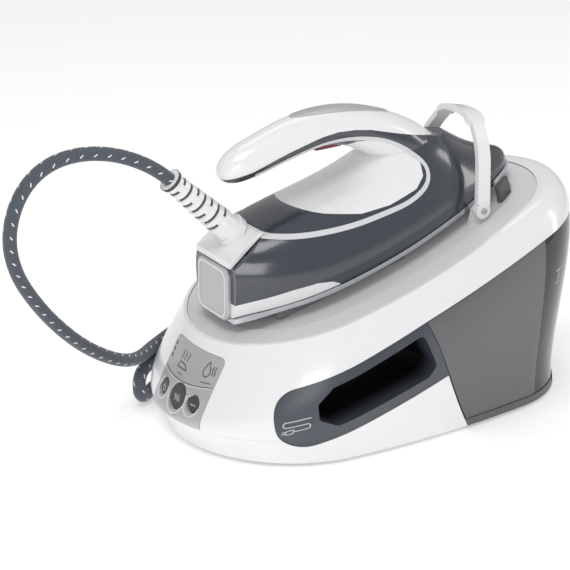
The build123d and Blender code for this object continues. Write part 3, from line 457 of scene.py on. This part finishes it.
def laid(name, strokes, width, tree, place, look, body, material, lift=0.12, sunk=0.25):
    """Flat lines laid on a surface, as one piece riding on a body. Strokes are in millimetres, and
    `place` turns a point of one into the start of the ray that finds the surface along `look`. The
    lines stand `lift` out of the surface and reach `sunk` into it."""
    points, faces = [], []

    def drop(a, b, height):
        hit, normal, _, _ = tree.ray_cast(place(a * MM, b * MM), look)
        if hit is None:
            return None
        if normal.dot(look) > 0:
            normal = -normal
        return hit + normal * height * MM

    for stroke in strokes:
        dense, closed = dense_line(stroke)
        total, first, rows = len(dense), len(points), 0
        for i, (a, b) in enumerate(dense):
            before = dense[i - 1] if (i or closed) else dense[i]
            after = dense[(i + 1) % total] if (i < total - 1 or closed) else dense[i]
            dx, dy = after[0] - before[0], after[1] - before[1]
            size = math.hypot(dx, dy) or 1.0
            nx, ny = -dy / size * width / 2, dx / size * width / 2
            row = [drop(a + nx, b + ny, lift), drop(a - nx, b - ny, lift),
                   drop(a - nx, b - ny, -sunk), drop(a + nx, b + ny, -sunk)]
            if None not in row:
                points += row
                rows += 1
        faces += square_bar(first, rows, closed)
    made = mesh_object(name, points, faces, material, smooth=False)
    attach(made, body)
    return made


def ring(x, y, rx, ry=None, count=16, start=0.0, stop=360.0):
    """Points of a circle, an ellipse or an arc of one, with angles in degrees."""
    ry = rx if ry is None else ry
    steps = [math.radians(start + (stop - start) * i / count) for i in range(count + 1)]
    found = [(x + rx * math.cos(a), y + ry * math.sin(a)) for a in steps]
    if stop - start >= 360:
        found[-1] = found[0]
    return found


def rounded(x, y, w, h, r):
    """Points of a rectangle with rounded corners."""
    found = []
    for cx, cy, a in ((1, 1, 0), (-1, 1, 90), (-1, -1, 180), (1, -1, 270)):
        found += ring(x + cx * (w / 2 - r), y + cy * (h / 2 - r), r, count=5, start=a, stop=a + 90)
    return found + [found[0]]


OUTSIDE, ABOVE = -0.4, 0.5              # where the rays start, clear of the whole object
ALONG_X, ALONG_Y, DOWN = Vector((1, 0, 0)), Vector((0, 1, 0)), Vector((0, 0, -1))


def from_front(y, z):
    return Vector((OUTSIDE, y, z))


def from_near(x, z):
    return Vector((x, OUTSIDE, z))


def from_top(x, y):
    return Vector((x, y, ABOVE))


panel = surface("control_panel")

# the control panel's pictures: steam over a soleplate, a drop with waves, and three lamps
SOLE_PICTURE = [(8.5, 61.0), (-6.0, 61.0), (-2.0, 64.5), (6.0, 65.0), (8.5, 61.0)]
DROP_PICTURE = [(-29.0, 75.0), *ring(-29.0, 67.3, 3.6, 3.8, 12, 20, -200), (-29.0, 75.0)]


def upright_wave(y, lean, levels):
    """A wisp of steam rising from y, leaning first by +1 or -1 mm."""
    return [(y + lean * d, z) for d, z in zip((0, 1.0, -0.6, 0.4), levels)]


steam_wisps = [upright_wave(y, 1, (67.0, 69.0, 71.0, 73.5)) for y in (6.0, 1.5, -3.0)]
drop_wisps = [upright_wave(y, -1, (66.0, 68.0, 70.0, 72.5)) for y in (-34.5, -37.0)]
laid("panel_pictures", [SOLE_PICTURE, *steam_wisps, DROP_PICTURE, *drop_wisps], 1.0, panel, from_front,
     ALONG_X, "base", ink_and_shadow_grey)
laid("panel_lamps", [ring(24.0, z, 1.1, count=10) for z in (73.5, 69.0, 64.5)], 0.8, panel, from_front,
     ALONG_X, "base", dark_detail)

# the step that divides the panel above its buttons, with a painted shadow line over it
STEP_LINE = [(26.5, 55.0), (22, 54), (14, 53.0), (4, 52.4), (-5.5, 52.3), (-18, 53.2), (-30, 55.0),
             (-41, 57.2)]
SHADE_ABOVE = 0.95
laid("panel_step", [STEP_LINE], 1.1, panel, from_front, ALONG_X, "base", silver_rim,
     lift=0.5)
# painted shadow: a dark line just above the step
laid("panel_step_shade", [[(y, z + SHADE_ABOVE) for y, z in STEP_LINE]], 0.7, panel, from_front, ALONG_X,
     "base", ink_and_shadow_grey, lift=0.1)
CAPTIONS = [[(5, 57.0), (-3, 57.0)], [(-27, 59.2), (-38, 60.4)], [(-14, 30.0), (-3, 29.6)]]
laid("panel_captions", CAPTIONS, 0.7, panel, from_front, ALONG_X, "base", ink_and_shadow_grey)

# each button's mark, and the silver surround in the panel round the button
BUTTONS = (("power_button", 15.0, 6.7), ("steam_button", -8.0, 10.2), ("descale_button", -28.0, 6.9))
MARK_UP = 0.4                           # a mark's centre over its button's middle height


def button_marks(name, y, z, radius):
    """A power sign, three wisps of steam, or a plain bar."""
    if name == "power_button":
        return [ring(y, z, 2.3, count=14, start=-240, stop=60), [(y, z + 0.4), (y, z + 3.4)]]
    if name == "steam_button":
        wave = ((0, -2.6), (-1.0, -0.8), (1.0, 0.8), (0, 2.6))
        return [[(y + d + dy, z + dz) for dy, dz in wave] for d in (-2.6, 0, 2.6)]
    return [[(y + radius * 0.42, z), (y - radius * 0.42, z)]]


panel_and_shell = surface("control_panel", "upper_shell")
for name, y, radius in BUTTONS:
    low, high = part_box(name)
    z = (low.z + high.z) / 2 / MM + MARK_UP
    laid(name + "_mark", button_marks(name, y, z, radius), 0.75, surface(name), from_front, ALONG_X,
         name.split("_")[0], ink_pale)
    surround = ring(y, z - 0.2, radius + 1.5, radius + 1.2, 40)
    laid(name + "_surround", [surround], 1.2, panel_and_shell, from_front, ALONG_X, "base", silver_rim,
         lift=0.45)

# the cord and plug picture on the dark inset
CORD = [(-113, 47.5), (-130, 43.0), *ring(-129.6, 40.6, 2.3, 2.4, 8, 100, 260), (-130, 38.2),
        (-115, 42.2), *ring(-115.2, 39.8, 2.3, 2.4, 8, 80, -80), (-115, 37.4), (-124, 34.8)]
PLUG = [(-124, 36.8), (-124, 32.8), (-128.0, 31.4), (-129.2, 32.6), (-129.0, 34.6), (-127.8, 35.6),
        (-124, 36.8)]
PINS = [[(-129.2, 32.4), (-131.6, 31.6)], [(-129.0, 34.4), (-131.4, 33.6)]]
laid("cord_picture", [CORD, PLUG, *PINS], 0.9, surface("side_panel_near"), from_near, ALONG_Y, "base",
     ink_pale)

# fill marks near the tank's rear corner
FILL_MARKS = [[(132, 114), (140, 114.8)], [(132, 103), (136.5, 103.4)], [(136.5, 103.4), (136.5, 114.5)],
              [(136.5, 108.6), (139, 108.9)], [(132, 40), (138, 40.5)]]
laid("fill_marks", FILL_MARKS, 0.7, surface("water_tank"), from_near, ALONG_Y, "tank", ink_pale)

# the heel plate's raised border
laid("heel_border", [rounded(0, 123.5, 43.0, 38.0, 7.0)], 1.8, surface("heel_plate"), from_front, ALONG_X,
     "iron", silver_rim, lift=0.5)

# marks embossed on the hoop's top
HOOP_TOP = 4 * MM                       # what lies within this of the highest point is its top
hoop_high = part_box("lock_hoop")[1].z
hoop_top = [v.co.x / MM for v in nodes["lock_hoop"].data.vertices if v.co.z > hoop_high - HOOP_TOP]
hoop_x = (min(hoop_top) + max(hoop_top)) / 2
arrow = [(hoop_x - 2, 0), (hoop_x + 2, -1.5), (hoop_x - 2, -3)]
laid("hoop_marks", [ring(hoop_x, 4.5, 1.9, count=14), arrow], 0.8, surface("lock_hoop"), from_top, DOWN,
     "hoop", ink_pale, lift=0.25)

# ---- hose boot's slots and dark mouth -----------------------------------------
BOOT_A, BOOT_B = Vector((-0.122, 0, 0.1665)), Vector((-0.176, 0, 0.217))
BOOT_L = (BOOT_B - BOOT_A).length / MM
boot_run = (BOOT_B - BOOT_A).normalized()
boot_side = Vector((0, 1, 0))
boot_rise = boot_run.cross(boot_side)
ARC_STEPS = 14
SLOT_COUNT, SLOT_FIRST, SLOT_PITCH, SLOT_WIDTH = 7, 19.8, 7.4, 1.9
SLOT_HALF, SLOT_PROUD = 66, 0.25        # half a slot's angle, and how far it stands over the cone
BOOT_WIDE, BOOT_TAPER = 11.0, 3.4       # the cone's first radius, and what it loses along the boot


def boot_arc(s0, s1, radius0, radius1, start, stop, points, faces, thick):
    """A curved strip round the boot from s0 to s1 along it, in millimetres and degrees."""
    first = len(points)
    for i in range(ARC_STEPS + 1):
        a = math.radians(start + (stop - start) * i / ARC_STEPS)
        out = boot_side * math.cos(a) + boot_rise * math.sin(a)
        for s, r in ((s0, radius0), (s1, radius1), (s1, radius1 - thick), (s0, radius0 - thick)):
            points.append(BOOT_A + boot_run * s * MM + out * r * MM)
    faces += square_bar(first, ARC_STEPS + 1, closed=False)


def boot_slots():
    """Pairs of dark slots between the boot's ribs, each pair turned a quarter from the last."""
    points, faces = [], []
    for k in range(SLOT_COUNT):
        s0 = SLOT_FIRST + SLOT_PITCH * k
        radius = BOOT_WIDE - BOOT_TAPER * (s0 - 4) / (BOOT_L - 7) + SLOT_PROUD
        turn = 0 if k % 2 else 90
        for half in (0, 180):
            middle = turn + half
            boot_arc(s0, s0 + SLOT_WIDTH, radius, radius - 0.1, middle - SLOT_HALF, middle + SLOT_HALF,
                     points, faces, thick=0.9)
    return mesh_object("boot_slots", points, faces, dark_detail, smooth=False)


def boot_mouth():
    """The dark ring where the hose goes into the boot."""
    points, faces = [], []
    for start in (0, 120, 240):
        boot_arc(BOOT_L - 3.2, BOOT_L - 0.3, 9.3, 9.75, start, start + 120, points, faces, thick=1.6)
    return mesh_object("boot_mouth", points, faces, dark_detail)


for piece in (boot_slots(), boot_mouth()):
    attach(piece, "iron")

# ---- floor and light ----------------------------------------------------------
FLOOR = 4.0                             # half its side
AMBIENT = 0.46                          # the world's light, while the camera sees it at full white
floor_look = finish("floor_pale", (0.90, 0.90, 0.90), 0.6, spread=0.004, grain=60.0, bump=0.02,
                    Emission_Color=opaque(1.0, 1.0, 1.0), Emission_Strength=0.34)
corners = [(-FLOOR, -FLOOR, 0), (FLOOR, -FLOOR, 0), (FLOOR, FLOOR, 0), (-FLOOR, FLOOR, 0)]
floor = mesh_object("floor", corners, [(0, 1, 2, 3)], floor_look, smooth=False)

world = bpy.data.worlds.new("studio")
scene.world = world
world.use_nodes = True
sky = world.node_tree.nodes["Background"]
sky.inputs["Color"].default_value = opaque(1.0, 1.0, 1.0)
seen = world.node_tree.nodes.new("ShaderNodeLightPath")
level = world.node_tree.nodes.new("ShaderNodeMapRange")
level.inputs["To Min"].default_value, level.inputs["To Max"].default_value = AMBIENT, 1.0
world.node_tree.links.new(seen.outputs["Is Camera Ray"], level.inputs["Value"])
world.node_tree.links.new(level.outputs[0], sky.inputs["Strength"])


def softbox(name, place, target, width, height, power):
    """A rectangular area light aimed at a target, in metres and watts."""
    data = bpy.data.lights.new(name, "AREA")
    data.shape, data.size, data.size_y, data.energy = "RECTANGLE", width, height, power
    lamp = bpy.data.objects.new(name, data)
    scene.collection.objects.link(lamp)
    lamp.location = place
    turn_towards(lamp, target)


softbox("key", (-0.7, -0.5, 1.9), (0, 0, 0.1), 1.1, 0.7, 11)
softbox("front", (-1.3, -1.9, 0.8), (0, 0, 0.1), 1.0, 1.0, 12)
softbox("top", (0.3, 0.7, 2.0), (0, 0, 0.1), 1.6, 0.6, 6)
softbox("side", (1.6, -0.6, 0.7), (0.1, 0, 0.1), 0.25, 1.2, 4)
